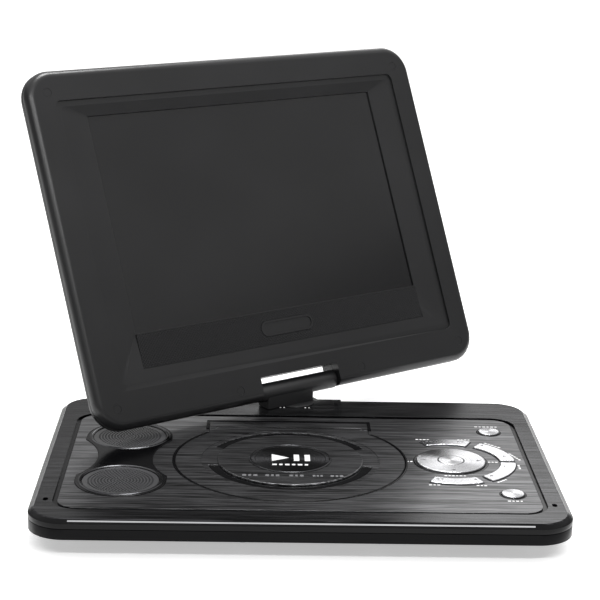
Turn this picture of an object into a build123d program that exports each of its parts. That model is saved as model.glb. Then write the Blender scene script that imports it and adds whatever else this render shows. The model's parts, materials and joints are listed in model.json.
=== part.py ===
from build123d import *
from math import cos, degrees, radians, sin
import os

# Portable disc player in millimetres: X to the right, Y to the rear, Z up,
# with the origin at the middle of the base's flat underside.

# Base casing
base_width = 280.0
base_depth = 202.0
base_corner = 20.0
belly_inset = 33.0            # the underside slopes in this far from the front and side edges
belly_rear_inset = 12.0       # and this far from the rear edge
edge_z = 9.0                  # lower edge of the upright side walls
parting_z = 14.6              # where the two base shells meet
rim_z = 17.5                  # foot of the bevel around the top
deck_z = 19.7                 # flat band around the top
bevel = 3.0
wall = 2.0
seam = 0.3                    # dark line between two shells
cover_roof_z = 17.0           # underside of the top cover
slope = edge_z / belly_inset
rear_slope = edge_z / belly_rear_inset

# Recessed panel in the top
pocket_width = 256.8
pocket_depth = 154.6
pocket_y = -8.3
pocket_corner = 13.5
pocket_z = 18.5
panel_margin = 2.6
panel_z = 19.4
gap = 0.3                     # between a moving piece and its opening

# Disc door and its well
door_x = -4.6
door_y = -6.8
door_radius = 63.3
door_half_width = 45.9
door_axis_y = 46.5
door_low_z = 17.4
door_axis_z = (door_low_z + panel_z) / 2
door_slot_y = door_axis_y + 1.6
hinge_cover_y = 57.0
knuckle_half = 42.0
ring_radius = 49.4
centre_radius = 40.2
badge_radius = 23.0
well_radius = 64.6
well_floor_z = 11.8
disc_rest_z = 13.6

# Speakers
speaker_x = -95.6
speaker_rows = {"rear": 28.8, "front": -42.6}
grille_radius = 20.6
grille_rim = 1.2              # the cover's opening is this much smaller
surround_radius = 24.3
waist_half = 15.0

# Keys
dial_x = 84.5
dial_y = -7.2
dial_radius = 19.2
centre_key_radius = 7.3
arc_inner = 27.4
arc_outer = 36.0
arc_keys = {"rear": (66, 114), "right_rear": (3, 57), "right_front": (-57, -3), "front": (-114, -66)}
round_keys = {"rear": (111.8, 43.8), "front": (112.4, -56.4)}
round_key_radius = 6.2
key_top_z = 20.2
key_foot_z = 16.0
key_flange_z = 15.9
key_travel = 0.5
board_z = 14.0                # top of the key board

# Hinge: a turntable on the base, and a barrel that the lid tilts on
hinge_y = 97.0
hinge_boss = 15.5
turntable_radius = 12.0
turntable_low_z = 18.1
shaft_radius = 4.0
tilt_axis_z = deck_z + 9.5
barrel_radius = 5.5
barrel_half = 28.0
pin_radius = 2.0
running = 0.05                # radial play of a pin in its hole

# Lid, in its own axes: X across, Y up from the tilt axis, Z out of the screen
lid_width = 284.0
lid_top = 206.0
lid_bottom = -5.0
lid_corner = 17.5
lid_front = 8.0
lid_back = -8.0
lid_seam = 2.0
lid_swivel = 36.0             # the stored pose, in degrees
lid_lean = 24.0
notch_half = 29.0
notch_top = 8.8
frame_half = 125.2
frame_low, frame_high = 16.3, 187.4
window_half = 104.9
window_low, window_high = 47.8, 177.3
trim_half = 105.5
trim_low, trim_high = 26.9, 47.2
badge_v = 37.1
lid_plugs = [(-128.5, 192.5), (128.5, 192.5), (-129.0, 7.3), (129.0, 7.3), (-44.9, 3.4), (46.9, 3.4)]

lid_height = lid_top - lid_bottom
lid_middle = (lid_top + lid_bottom) / 2
over = 1.0                    # how far a cutter passes through what it cuts

os.makedirs("parts", exist_ok=True)


def save(name, *solids):
    export_step(Compound(children=[s for piece in solids for s in piece.solids()]), f"parts/{name}.step")


def slab(width, depth, corner, low, high, x=0.0, y=0.0):
    return Pos(x, y, low) * extrude(RectangleRounded(width, depth, corner), high - low)


def block(x0, x1, y0, y1, low, high):
    return Pos((x0 + x1) / 2, (y0 + y1) / 2, (low + high) / 2) * Box(x1 - x0, y1 - y0, high - low)


def disc(radius, low, high, x=0.0, y=0.0):
    return Pos(x, y, (low + high) / 2) * Cylinder(radius, high - low)


def ring(outer, inner, low, high, x=0.0, y=0.0):
    return disc(outer, low, high, x, y) - disc(inner, low - over, high + over, x, y)


def rod_x(radius, x0, x1, y=0.0, z=0.0):
    return Pos((x0 + x1) / 2, y, z) * Rot(0, 90, 0) * Cylinder(radius, x1 - x0)


def taper(lower, upper, low, high):
    """A solid between two rounded rectangles, each (width, depth, corner, y)."""
    ends = [Pos(0, y, z) * RectangleRounded(w, d, r) for (w, d, r, y), z in ((lower, low), (upper, high))]
    return loft([end.face() for end in ends], ruled=True)


def sector(inner, outer, start, end, low, high, grow=0.0, centre=(dial_x, dial_y)):
    """Part of a ring about a centre, grown by a margin on every side."""
    spread = degrees(grow / ((inner + outer) / 2))
    turn = end - start + 2 * spread
    arcs = [CenterArc((0, 0), radius, start - spread, turn) for radius in (inner - grow, outer + grow)]
    ends = [Line(arcs[0] @ t, arcs[1] @ t) for t in (0, 1)]
    return Pos(*centre, low) * extrude(make_face(arcs + ends), high - low)


def join(pieces):
    total = pieces[0]
    for piece in pieces[1:]:
        total = total + piece
    return total


def mirrored(points):
    return [(sx * x, y) for x, y in points for sx in (-1, 1)]


# ---- Base shells

screw_posts = mirrored([(120.0, -80.0), (120.0, 78.0)]) + [(-30.0, -88.0), (40.0, -88.0)]
post_radius = 3.2
post_split_z = 12.0
screw_radius = 1.2
screw_head = 2.4
screw_head_z = 6.4
foot_spots = mirrored([(88.0, -56.0), (88.0, 78.0)])
foot_radius = 6.0
foot_drop = 1.5
battery_box = (26.0, 76.0, -58.0, 48.0)       # x from, x to, y from, y to
battery_door_thick = wall - 0.2
grip_width, grip_depth, grip_deep, grip_inset = 14.0, 5.0, 0.8, 8.0
cell_low_z, cell_high_z, cell_corner, cell_room = 2.2, 9.5, 2.0, 3.0
protection_inset, protection_half = 6.0, 1.1
vent_count, vent_first_x, vent_step = 9, -60.0, 7.0
vent_y, vent_length, vent_width = -40.0, 22.0, 2.4
round_end = 0.49              # share of a slot's width that its corner radius takes

outline = (base_width, base_depth, base_corner, 0.0)
belly_shift = (belly_inset - belly_rear_inset) / 2
belly = (base_width - 2 * belly_inset, base_depth - belly_inset - belly_rear_inset, 10.0, belly_shift)

# Ports: the right side wall carries the sockets, the left one the card slot
port_z = 12.7
port_cut_depth = 8.0          # the cuts also relieve the sloping floor behind the wall
side_x = base_width / 2
jack_radius = 1.8
jack_house = 3.0
jack_ys = {"headphone_jack": -30.0, "av_jack": -14.0}
dc_y, dc_radius, dc_pin, dc_house = 44.0, 2.8, 0.7, 3.2
usb_y, usb_half, usb_half_height = 12.0, 6.4, 2.5
usb_shell, usb_lip = 0.6, 0.4
card_y, card_half, card_half_height = -36.0, 12.6, 1.3
card_shell = 0.7
port_inset = 0.2              # a port's face sits this far behind the wall's face
switch_y, switch_slot, switch_half_height = 66.0, 9.0, 1.6
switch_half, slider_half, switch_travel = 2.0, 5.0, 4.0

# Swivel stack under the turntable
plate_z = 18.0
plate_low_z = 15.9
boss_top_z = deck_z - 0.8
nut_low_z = 12.4
nut_high_z = 15.0


def port_cuts():
    inner = side_x - port_cut_depth
    cuts = [rod_x(jack_house + gap, inner, side_x + over, y, port_z) for y in jack_ys.values()]
    cuts.append(rod_x(dc_house + gap, inner, side_x + over, dc_y, port_z))
    usb = (usb_y - usb_half - usb_shell - gap, usb_y + usb_half + usb_shell + gap)
    usb_height = usb_half_height + usb_lip + gap
    cuts.append(block(inner, side_x + over, *usb, port_z - usb_height, port_z + usb_height))
    card = card_half + card_shell + gap
    card_height = card_half_height + card_shell + gap
    cuts.append(block(-side_x - over, -side_x + wall + over, card_y - card, card_y + card,
                      port_z - card_height, port_z + card_height))
    cuts.append(block(side_x - wall - over, side_x + over, switch_y - switch_slot / 2, switch_y + switch_slot / 2,
                      port_z - switch_half_height, port_z + switch_half_height))
    return cuts


def floor_z(x, y):
    """Height of the inner floor of the bottom shell."""
    inset = min(base_width / 2 - abs(x), base_depth / 2 + y)
    rear_inset = base_depth / 2 - y
    return wall + max(0.0, (belly_inset - inset) * slope, (belly_rear_inset - rear_inset) * rear_slope)


def make_bottom_shell():
    body = taper(belly, outline, 0.0, edge_z) + slab(*outline[:3], edge_z, parting_z)
    body += disc(hinge_boss, edge_z, parting_z, 0.0, hinge_y)
    inner = (base_width - 2 * wall, base_depth - 2 * wall, base_corner - wall, 0.0)
    inner_belly = (belly[0] - wall / 2, belly[1] - wall / 2, belly[2] - wall / 2, belly_shift)
    inner_edge_z = wall + (belly_inset - wall) * slope
    body -= taper(inner_belly, inner, wall, inner_edge_z) + slab(*inner[:3], inner_edge_z, parting_z + over)
    body -= disc(hinge_boss - wall, edge_z + wall, parting_z + over, 0.0, hinge_y)
    posts = [disc(post_radius, floor_z(x, y) - wall / 2, post_split_z, x, y) for x, y in screw_posts]
    body += join(posts)
    for x, y in screw_posts:
        body -= disc(screw_radius + gap, 0.0, post_split_z + over, x, y)
        body -= disc(screw_head + gap, 0.0, screw_head_z, x, y)
    x0, x1, y0, y1 = battery_box
    body -= block(x0, x1, y0, y1, -over, wall + over)
    for x, y in foot_spots:
        body -= disc(foot_radius, -over, wall / 2, x, y)
    for n in range(vent_count):
        x = vent_first_x + n * vent_step
        body -= slab(vent_width, vent_length, vent_width * round_end, -over, wall + over, x, vent_y)
    for cut in port_cuts():
        body -= cut
    return body


def deck_cutters(low, high, margin):
    """Every opening that the top cover and the panel on it share."""
    door = disc(door_radius + margin, low, high, door_x, door_y)
    cuts = [door & block(-base_width, base_width, -base_depth, door_slot_y, low, high)]
    cuts += [disc(grille_radius - grille_rim, low, high, speaker_x, y) for y in speaker_rows.values()]
    cuts.append(disc(dial_radius + margin, low, high, dial_x, dial_y))
    cuts += [disc(round_key_radius + margin, low, high, x, y) for x, y in round_keys.values()]
    cuts += [sector(arc_inner, arc_outer, a, b, low, high, margin) for a, b in arc_keys.values()]
    return cuts


bumper_spots = mirrored([(132.0, -72.0)])
bumper_length, bumper_width, bumper_deep = 4.4, 2.6, 1.0


def make_top_cover():
    body = slab(*outline[:3], parting_z + seam, rim_z)
    top = (base_width - 2 * bevel, base_depth - 2 * bevel, base_corner - bevel, 0.0)
    body += taper(outline, top, rim_z, deck_z)
    body += disc(hinge_boss, parting_z + seam, boss_top_z, 0.0, hinge_y)
    body -= slab(base_width - 2 * wall, base_depth - 2 * wall, base_corner - wall, parting_z, cover_roof_z)
    body += disc(hinge_boss, plate_low_z, boss_top_z, 0.0, hinge_y)
    body -= disc(hinge_boss - wall, parting_z, plate_low_z, 0.0, hinge_y)
    body -= disc(turntable_radius + gap, plate_z, deck_z + over, 0.0, hinge_y)
    body -= disc(shaft_radius + running, parting_z, deck_z, 0.0, hinge_y)
    body -= slab(pocket_width, pocket_depth, pocket_corner, pocket_z, deck_z + over, 0.0, pocket_y)
    bosses = [disc(post_radius, post_split_z + gap, cover_roof_z, x, y) for x, y in screw_posts]
    body += join(bosses)
    for x, y in screw_posts:
        body -= disc(screw_radius, post_split_z, cover_roof_z, x, y)
    for cut in deck_cutters(parting_z, deck_z + over, gap):
        body -= cut
    half = door_half_width + gap
    body -= block(door_x - half, door_x + half, door_y, door_slot_y, parting_z, deck_z + over)
    for cut in port_cuts():
        body -= cut
    for x, y in bumper_spots:
        recess = SlotOverall(bumper_length, bumper_width, rotation=90)
        body -= Pos(x, y, deck_z - bumper_deep) * extrude(recess, over + bumper_deep)
    return body


def make_deck_panel():
    margin = 2 * panel_margin
    body = slab(pocket_width - margin, pocket_depth - margin, pocket_corner - panel_margin, pocket_z, panel_z,
                0.0, pocket_y)
    for cut in deck_cutters(pocket_z - over, panel_z + over, gap):
        body -= cut
    half = door_half_width + gap
    body -= block(door_x - half, door_x + half, door_y, hinge_cover_y + 0.2, pocket_z - over, panel_z + over)
    return body - speaker_outline(pocket_z - over, panel_z + over, gap / 2)


def speaker_outline(low, high, margin=0.0):
    """Two discs and a waisted neck between them."""
    rear, front = speaker_rows["rear"], speaker_rows["front"]
    middle, half = (rear + front) / 2, (rear - front) / 2
    radius = surround_radius + margin
    waist = waist_half + margin
    neck = block(speaker_x - radius, speaker_x + radius, front, rear, low, high)
    # the concave side is an arc that touches both discs
    side = (half ** 2 + waist ** 2 - radius ** 2) / (2 * (radius - waist))
    for sign in (-1, 1):
        neck -= disc(side, low - over, high + over, speaker_x + sign * (waist + side), middle)
    return neck + disc(radius, low, high, speaker_x, rear) + disc(radius, low, high, speaker_x, front)


def make_speaker_surround():
    body = speaker_outline(pocket_z, panel_z + 0.4)
    for y in speaker_rows.values():
        body -= disc(grille_radius + 0.1, pocket_z - over, deck_z + over, speaker_x, y)
    return body


hole_radius = 0.75
hole_rings = 7
ring_step = 2.6


def make_grille(y):
    plate = disc(grille_radius, pocket_z, panel_z, speaker_x, y)
    holes = [disc(hole_radius, pocket_z - over, deck_z, speaker_x, y)]
    for n in range(1, hole_rings):
        count = 6 * n
        spots = PolarLocations(n * ring_step, count)
        holes += [Pos(speaker_x, y, 0) * spot * disc(hole_radius, pocket_z - over, deck_z) for spot in spots]
    return plate - holes


driver_radius, driver_low_z, driver_high_z = 19.0, 14.8, 16.9
basket_foot, basket_top, basket_low_z = 11.0, 16.5, 10.0
magnet_radius, magnet_low_z = 10.5, 6.0


def make_driver(y):
    """Loudspeaker: frame, cone basket and magnet."""
    frame = disc(driver_radius, driver_low_z, driver_high_z, speaker_x, y)
    middle_z = (basket_low_z + driver_low_z) / 2
    basket = Pos(speaker_x, y, middle_z) * Cone(basket_foot, basket_top, driver_low_z - basket_low_z)
    return frame + basket + disc(magnet_radius, magnet_low_z, basket_low_z, speaker_x, y)


def make_battery_door():
    x0, x1, y0, y1 = battery_box
    door = block(x0 + gap, x1 - gap, y0 + gap, y1 - gap, 0.0, battery_door_thick)
    middle_x = (x0 + x1) / 2
    grip = slab(grip_width, grip_depth, grip_depth * round_end, -over, grip_deep, middle_x, y1 - grip_inset)
    return door - grip


def make_battery():
    """Two flat lithium cells side by side with a small protection board."""
    x0, x1, y0, y1 = battery_box
    middle = (y0 + y1) / 2
    size = (x1 - x0 - cell_room, middle - y0 - cell_room, cell_corner)
    cells = [slab(*size, cell_low_z, cell_high_z, (x0 + x1) / 2, y) for y in ((y0 + middle) / 2, (middle + y1) / 2)]
    protection = block(x0 + protection_inset, x1 - protection_inset, middle - protection_half,
                       middle + protection_half, cell_low_z, cell_high_z - protection_half)
    return cells + [protection]


main_board_box = (-110.0, -32.0, 62.0, 94.0, 12.6, board_z)       # x, y and z from and to
main_chips = [(-98.0, -84.0, 68.0, 82.0, 1.2), (-72.0, -62.0, 66.0, 82.0, 1.0)]      # and the height last
capacitor_radius, capacitor_tall, capacitor_spot = 4.0, 2.6, (-46.0, 84.0)
key_board_box = (62.0, 124.0, -66.0, 54.0, board_z - 1.2, board_z)
dome_radius, dial_dome_reach = 2.4, 13.5


def make_main_board():
    chips = [block(*spot, board_z, board_z + tall) for *spot, tall in main_chips]
    capacitor = disc(capacitor_radius, board_z, board_z + capacitor_tall, *capacitor_spot)
    return join([block(*main_board_box), capacitor] + chips)


def make_key_board():
    """A dome switch under every key, and four under the dial."""
    switch_high = key_foot_z - key_travel - gap
    spots = [(dial_x, dial_y)] + list(round_keys.values())
    spots += [(dial_x + r * cos(radians(a)), dial_y + r * sin(radians(a)))
              for r, a in [((arc_inner + arc_outer) / 2, (s + e) / 2) for s, e in arc_keys.values()]]
    spots += [(dial_x + dial_dome_reach * sx, dial_y + dial_dome_reach * sy)
              for sx, sy in ((1, 0), (-1, 0), (0, 1), (0, -1))]
    return join([block(*key_board_box)] + [disc(dome_radius, board_z, switch_high, x, y) for x, y in spots])


# ---- Disc drive

sled_near, sled_far = 26.0, 57.0       # the pickup's reach to the left of the spindle
sled_length = 12.0
rod_radius = 1.5
rod_offset = 17.0
rod_z = 7.4
chassis_low, chassis_high = 3.6, 4.6
motor_radius = 11.0
hub_radius = 14.0
clamp_radius = 7.3
screw_drive_radius = 1.25
nut_play = 0.3
rod_start = door_x - sled_far - 10.0
screw_y = door_y + rod_offset - 5.5
rod_end = door_x - 9.0
rod_ys = (door_y - rod_offset, door_y + rod_offset)
well_wall, well_top_z, ledge_low_z = 1.4, 16.9, 15.4
well_slot_half = 7.5          # half the pickup's slot in the well's floor
head_half_x, head_half_y, head_play = 4.6, 6.0, 0.8
catch_notch_half = 2.6
chassis_half, chassis_right, chassis_left = 28.0, 24.0, 16.0
chassis_window_half = 12.0
ear_thick, ear_half, ear_above = 3.0, 3.0, 2.6
damper_outer, damper_inner, damper_offset = 2.8, 1.2, 24.0
spindle_radius, spindle_low_z = 0.9, chassis_high + 0.4
hub_thick, clamp_tall, cone_tall, cone_radius = 1.6, 1.6, 1.2, 5.6
ball_radius, ball_inset, ball_count = 1.4, 1.0, 3
motor_top_z, motor_neck_z, motor_neck = 10.0, 11.0, 3.0
carriage_below, carriage_above = 2.6, 1.6
lens_ring, lens_radius, lens_ring_tall, lens_tall = 3.4, 2.1, 0.5, 0.8
sled_motor_radius, sled_motor_length = 2.75, 13.0


def make_disc_well():
    body = disc(well_radius + well_wall, well_floor_z - well_wall, well_top_z, door_x, door_y)
    ledge_half = door_half_width + 3.0
    body += block(door_x - ledge_half, door_x + ledge_half, door_y, door_axis_y + 4.0, ledge_low_z, well_top_z)
    body -= disc(well_radius, well_floor_z, deck_z, door_x, door_y)
    body -= disc(hub_radius + over, 0.0, deck_z, door_x, door_y)
    slot = (door_x - sled_far - head_half_x - head_play, door_x - hub_radius)
    body -= block(*slot, door_y - well_slot_half, door_y + well_slot_half, 0.0, deck_z)
    notch_y = door_y - well_radius
    return body - block(door_x - catch_notch_half, door_x + catch_notch_half, notch_y - 2.5, notch_y + 2.0,
                        well_floor_z, deck_z)


def make_chassis():
    plate = block(rod_start - chassis_left, door_x + chassis_right, door_y - chassis_half, door_y + chassis_half,
                  chassis_low, chassis_high)
    plate -= block(door_x - sled_far - 6.0, door_x - hub_radius, door_y - chassis_window_half,
                   door_y + chassis_window_half, 0.0, chassis_high + over)
    ears = [block(x, x + ear_thick, y - ear_half, y + ear_half, chassis_high, rod_z + ear_above)
            for x in (rod_start, rod_end - ear_thick) for y in rod_ys]
    body = join([plate] + ears)
    for y in rod_ys:
        body -= rod_x(rod_radius, rod_start - over, rod_end, y, rod_z)
    return body


def make_dampers():
    xs = (door_x - sled_far - 6.0, door_x + 20.0)
    ys = (door_y - damper_offset, door_y + damper_offset)
    return [ring(damper_outer, damper_inner, wall, chassis_low, x, y) for x in xs for y in ys]


def make_spindle_hub():
    clamp_z = disc_rest_z + clamp_tall
    body = disc(spindle_radius, spindle_low_z, disc_rest_z, door_x, door_y)
    body += disc(hub_radius, disc_rest_z - hub_thick, disc_rest_z, door_x, door_y)
    body += disc(clamp_radius, disc_rest_z, clamp_z, door_x, door_y)
    body += Pos(door_x, door_y, clamp_z + cone_tall / 2) * Cone(clamp_radius, cone_radius, cone_tall)
    for spot in PolarLocations(clamp_radius - ball_inset, ball_count):
        body += Pos(door_x, door_y, disc_rest_z + ball_inset) * spot * Sphere(ball_radius)
    return body


def make_spindle_motor():
    body = disc(motor_radius, chassis_high, motor_top_z, door_x, door_y)
    body += disc(motor_neck, motor_top_z, motor_neck_z, door_x, door_y)
    return body - disc(spindle_radius + running, 0.0, motor_neck_z + over, door_x, door_y)


sled_x = door_x - sled_near


def make_sled():
    """Pickup carriage: runs on two rods and is driven by the screw beside the rear one."""
    x0, x1 = sled_x - sled_length / 2, sled_x + sled_length / 2
    carriage = block(x0, x1, rod_ys[0] - ear_half, rod_ys[1] + ear_half,
                     rod_z - carriage_below, rod_z + carriage_above)
    for y in rod_ys:
        carriage -= rod_x(rod_radius + running, x0 - over, x1 + over, y, rod_z)
    carriage -= rod_x(screw_drive_radius + nut_play, x0 - over, x1 + over, screw_y, rod_z)
    return carriage + block(sled_x - head_half_x, sled_x + head_half_x, door_y - head_half_y, door_y + head_half_y,
                            rod_z + carriage_above, well_floor_z)


def make_lens():
    rim = ring(lens_ring, lens_radius, well_floor_z, well_floor_z + lens_ring_tall, sled_x, door_y)
    return rim + disc(lens_radius, well_floor_z, well_floor_z + lens_tall, sled_x, door_y)


def make_sled_motor():
    end = rod_start - over
    return rod_x(sled_motor_radius, end - sled_motor_length, end, screw_y, rod_z)


# ---- Disc door

ring_floor_z = 18.5
ring_top_z = 19.2
ring_slots = {"rear": (25, 155), "front": (192, 348)}       # dark grooves, in degrees from the right
slot_outer, slot_floor_z = 46.2, 18.7
centre_top_z = 19.9
badge_floor_z = centre_top_z - 0.5
badge_inner = 19.6
knuckle_radius, hinge_pin_radius = 1.0, 0.6
pin_in, pin_out = 4.0, 3.0    # a pin's length inside the door and beyond its end
tongue_half, tongue_thick, tongue_low_z = 2.0, 1.6, 14.6
ear_gap = 1.4


def make_door():
    leaf_end = door_axis_y - 2.2
    body = disc(door_radius, door_low_z, panel_z, door_x, door_y)
    body &= block(-base_width, base_width, -base_depth, leaf_end, door_low_z, panel_z)
    body += block(door_x - door_half_width, door_x + door_half_width, door_y, leaf_end, door_low_z, panel_z)
    knuckle = (door_x - knuckle_half, door_x + knuckle_half)
    body += block(*knuckle, door_y + centre_radius, door_axis_y, door_low_z, panel_z)
    body += rod_x(knuckle_radius, *knuckle, door_axis_y, door_axis_z)
    body -= disc(ring_radius, ring_floor_z, deck_z, door_x, door_y)
    tongue_y = door_y - door_radius
    body += block(door_x - tongue_half, door_x + tongue_half, tongue_y, tongue_y + tongue_thick,
                  tongue_low_z, door_low_z)
    for pin in make_door_pins():
        body -= pin
    return body


def make_door_pins():
    spans = [sorted((door_x + side * (knuckle_half - pin_in), door_x + side * (knuckle_half + pin_out)))
             for side in (-1, 1)]
    return [rod_x(hinge_pin_radius, *span, door_axis_y, door_axis_z) for span in spans]


def make_hinge_cover():
    """Fixed strip behind the door, with an ear at each end for a hinge pin."""
    half = door_half_width
    strip = block(door_x - half, door_x + half, door_axis_y + ear_gap, hinge_cover_y, pocket_z, panel_z)
    for side in (-1, 1):
        ends = sorted((door_x + side * (knuckle_half + gap), door_x + side * half))
        strip += block(*ends, door_axis_y - 1.6, door_axis_y + 1.5, door_low_z - 0.2, panel_z)
    return strip - rod_x(hinge_pin_radius + running, door_x - half - over, door_x + half + over,
                         door_axis_y, door_axis_z)


def make_door_ring():
    """Ring around the middle plate, with a groove at its front and rear."""
    body = ring(ring_radius - 0.1, centre_radius + 0.1, ring_floor_z, ring_top_z, door_x, door_y)
    for start, end in ring_slots.values():
        body -= sector(centre_radius - over, slot_outer, start, end, slot_floor_z, deck_z, centre=(door_x, door_y))
    return body


def make_door_centre():
    """Raised middle plate with a round recess for the badge."""
    plate = disc(centre_radius, ring_floor_z, centre_top_z, door_x, door_y)
    plate = fillet(plate.edges().group_by(Axis.Z)[-1], 0.6)
    return plate - disc(badge_radius, badge_floor_z, deck_z + over, door_x, door_y)


def make_door_badge():
    badge = ring(badge_radius - 0.1, badge_inner, badge_floor_z, centre_top_z + 0.3, door_x, door_y)
    badge = fillet(badge.edges().group_by(Axis.Z)[-1], 0.25)
    return badge + disc(badge_inner, badge_floor_z, centre_top_z, door_x, door_y)


catch_gap = 0.35
catch_half, catch_tip_half = 5.0, 1.6
catch_low_z, catch_step_z, catch_top_z = 12.0, 14.2, 15.6


def make_catch():
    """Sprung slide in front of the door's tongue."""
    tip_y = door_y - door_radius - catch_gap
    back_y = tip_y - 8.0
    slide = block(door_x - catch_half, door_x + catch_half, back_y, tip_y - 3.5, catch_low_z, catch_step_z)
    tip = (door_x - catch_tip_half, door_x + catch_tip_half, back_y, tip_y)
    return slide + block(*tip, catch_step_z, catch_top_z)


# ---- Keys and switch

def cap(body, radius=0.5):
    return fillet(body.edges().group_by(Axis.Z)[-1], radius)


def make_dial():
    body = cap(disc(dial_radius, key_flange_z, key_top_z + 0.3, dial_x, dial_y), 0.6)
    body += disc(dial_radius + 1.2, key_flange_z, cover_roof_z - gap, dial_x, dial_y)
    return body - disc(centre_key_radius + gap, 0.0, 30.0, dial_x, dial_y)


def make_centre_key():
    return cap(disc(centre_key_radius, key_flange_z, key_top_z + 0.5, dial_x, dial_y), 0.6)


def make_round_key(x, y):
    body = cap(disc(round_key_radius, key_flange_z, key_top_z + 0.2, x, y), 0.6)
    return body + disc(round_key_radius + 0.9, key_flange_z, cover_roof_z - gap, x, y)


def make_arc_key(start, end):
    body = sector(arc_inner, arc_outer, start, end, key_flange_z, key_top_z)
    body = fillet(body.edges().filter_by(Axis.Z), 1.2)
    body = cap(body, 0.4)
    return body + sector(arc_inner, arc_outer, start, end, key_flange_z, cover_roof_z - gap, 0.7)


def make_switch():
    high = switch_half_height - gap
    y = switch_y - switch_travel / 2
    inner = side_x - wall
    knob = block(inner - 1.5, side_x + 0.7, y - switch_half, y + switch_half, port_z - high, port_z + high)
    return knob + block(inner - 3.0, inner - gap, y - slider_half, y + slider_half, port_z - 2.0, port_z + 2.0)


# ---- Ports

jack_back, jack_step, jack_bore_back = side_x - 12.0, side_x - 6.0, side_x - 11.0
jack_block_half = 2.5
dc_back, dc_bore_back, dc_pin_front = side_x - 13.0, side_x - 10.0, side_x - 2.0
usb_back, usb_bore_back = side_x - 14.0, side_x - 12.5
card_deep, card_back_wall = 24.0, 2.0


def make_jack(y):
    body = rod_x(jack_house, jack_back, side_x - port_inset, y, port_z)
    body += block(jack_back, jack_step, y - jack_house, y + jack_house, port_z - jack_block_half,
                  port_z + jack_block_half)
    return body - rod_x(jack_radius, jack_bore_back, side_x + over, y, port_z)


def make_dc_inlet():
    body = rod_x(dc_house, dc_back, side_x - port_inset, dc_y, port_z)
    body -= rod_x(dc_radius, dc_bore_back, side_x + over, dc_y, port_z)
    return body + rod_x(dc_pin, dc_bore_back - over, dc_pin_front, dc_y, port_z)


def make_usb():
    half, tall = usb_half + usb_shell, usb_half_height + usb_lip
    shell = block(usb_back, side_x - port_inset, usb_y - half, usb_y + half, port_z - tall, port_z + tall)
    return shell - block(usb_bore_back, side_x + over, usb_y - usb_half, usb_y + usb_half,
                         port_z - usb_half_height, port_z + usb_half_height)


def make_card_slot():
    x0 = -side_x + port_inset
    half, tall = card_half + card_shell, card_half_height + card_shell
    shell = block(x0, x0 + card_deep + card_back_wall, card_y - half, card_y + half, port_z - tall, port_z + tall)
    return shell - block(x0 - over, x0 + card_deep, card_y - card_half, card_y + card_half,
                         port_z - card_half_height, port_z + card_half_height)


# ---- Swivel

swivel_place = Pos(0, hinge_y, 0) * Rot(0, 0, lid_swivel)
turntable_top_z = deck_z + 0.3
cable_radius = 2.6            # the display cable's way through the swivel
neck_half_x, neck_half_y, neck_corner = 11.0, 5.2, 2.5
washer_radius, nut_half_size = 9.0, 7.0
tilt_pin_near, tilt_pin_far = 12.0, 39.4


def make_turntable():
    return ring(turntable_radius, cable_radius, turntable_low_z, turntable_top_z)


def make_barrel():
    """Cross barrel on a short neck, hollow for the display cable."""
    neck = slab(2 * neck_half_x, 2 * neck_half_y, neck_corner, turntable_top_z, tilt_axis_z)
    body = neck + rod_x(barrel_radius, -barrel_half, barrel_half, 0.0, tilt_axis_z)
    body -= disc(cable_radius, 0.0, tilt_axis_z)
    body -= rod_x(pin_radius, -barrel_half - over, barrel_half + over, 0.0, tilt_axis_z)
    return body


def make_shaft():
    return ring(shaft_radius, cable_radius, nut_low_z - 0.8, turntable_low_z)


def make_washer():
    return ring(washer_radius, shaft_radius, nut_high_z, plate_low_z - 0.1)


def make_nut():
    body = Pos(0, 0, nut_low_z) * extrude(RegularPolygon(nut_half_size, 6), nut_high_z - nut_low_z)
    return body - disc(shaft_radius, 0.0, nut_high_z + over)


def make_tilt_pins():
    return [rod_x(pin_radius, *sorted((s * tilt_pin_near, s * tilt_pin_far)), 0.0, tilt_axis_z) for s in (-1, 1)]


# ---- Lid, built in its own axes and then put at the stored pose

lean, turn = radians(lid_lean), radians(lid_swivel)
lid_across = Vector(cos(turn), sin(turn), 0.0)
lid_up = Vector(-sin(turn) * sin(lean), cos(turn) * sin(lean), cos(lean))
lid_plane = Plane(origin=(0, hinge_y, tilt_axis_z), x_dir=lid_across, z_dir=lid_across.cross(lid_up))
lid_through = (2 * lid_back, 2 * lid_front)
notch = block(-notch_half, notch_half, 2 * lid_bottom, notch_top, *lid_through)
notch_wall = block(-notch_half - wall, notch_half + wall, 2 * lid_bottom, notch_top + wall, *lid_through)
pin_holes = rod_x(pin_radius + 0.5, -notch_half - 5.0, notch_half + 5.0)
leaf_boss, leaf_near, leaf_far, leaf_end = 3.3, 31.2, 39.5, 58.0     # friction hinge leaf beside the notch
leaf_reliefs = [rod_x(leaf_boss, *sorted((s * leaf_near, s * leaf_far))) for s in (-1, 1)]
bezel_inner_z = 4.6
frame_floor_z = 6.8
window_edge_z = 5.6
cavity_margin = 3.0
bezel_round = 4.5
frame_slope = 7.0             # the recess narrows by this much down to the window
plug_radius, plug_deep, plug_play = 2.5, 1.5, 0.1
back_low_z = -0.2             # the back cover's rim starts here and its dome ends
dome_side, dome_low, dome_corner, dome_round = 30.0, 5.0, 12.0, 1.5
cover_floor_z = 1.2
trim_top_z, trim_play = 6.3, 0.15
badge_width, badge_height, badge_low_z, badge_top_z, badge_rim = 38.8, 9.4, 5.3, 6.5, 1.2
lcd_low_z, lcd_high_z, lcd_margin = 0.2, 3.6, 4.0
lid_board_box = (-60.0, 60.0, 60.0, 120.0, -4.4, -3.2)
lid_chips = [(-30.0, -14.0, 80.0, 96.0, 1.4), (8.0, 20.0, 70.0, 82.0, 1.2), (28.0, 46.0, 96.0, 104.0, 2.6)]
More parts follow.
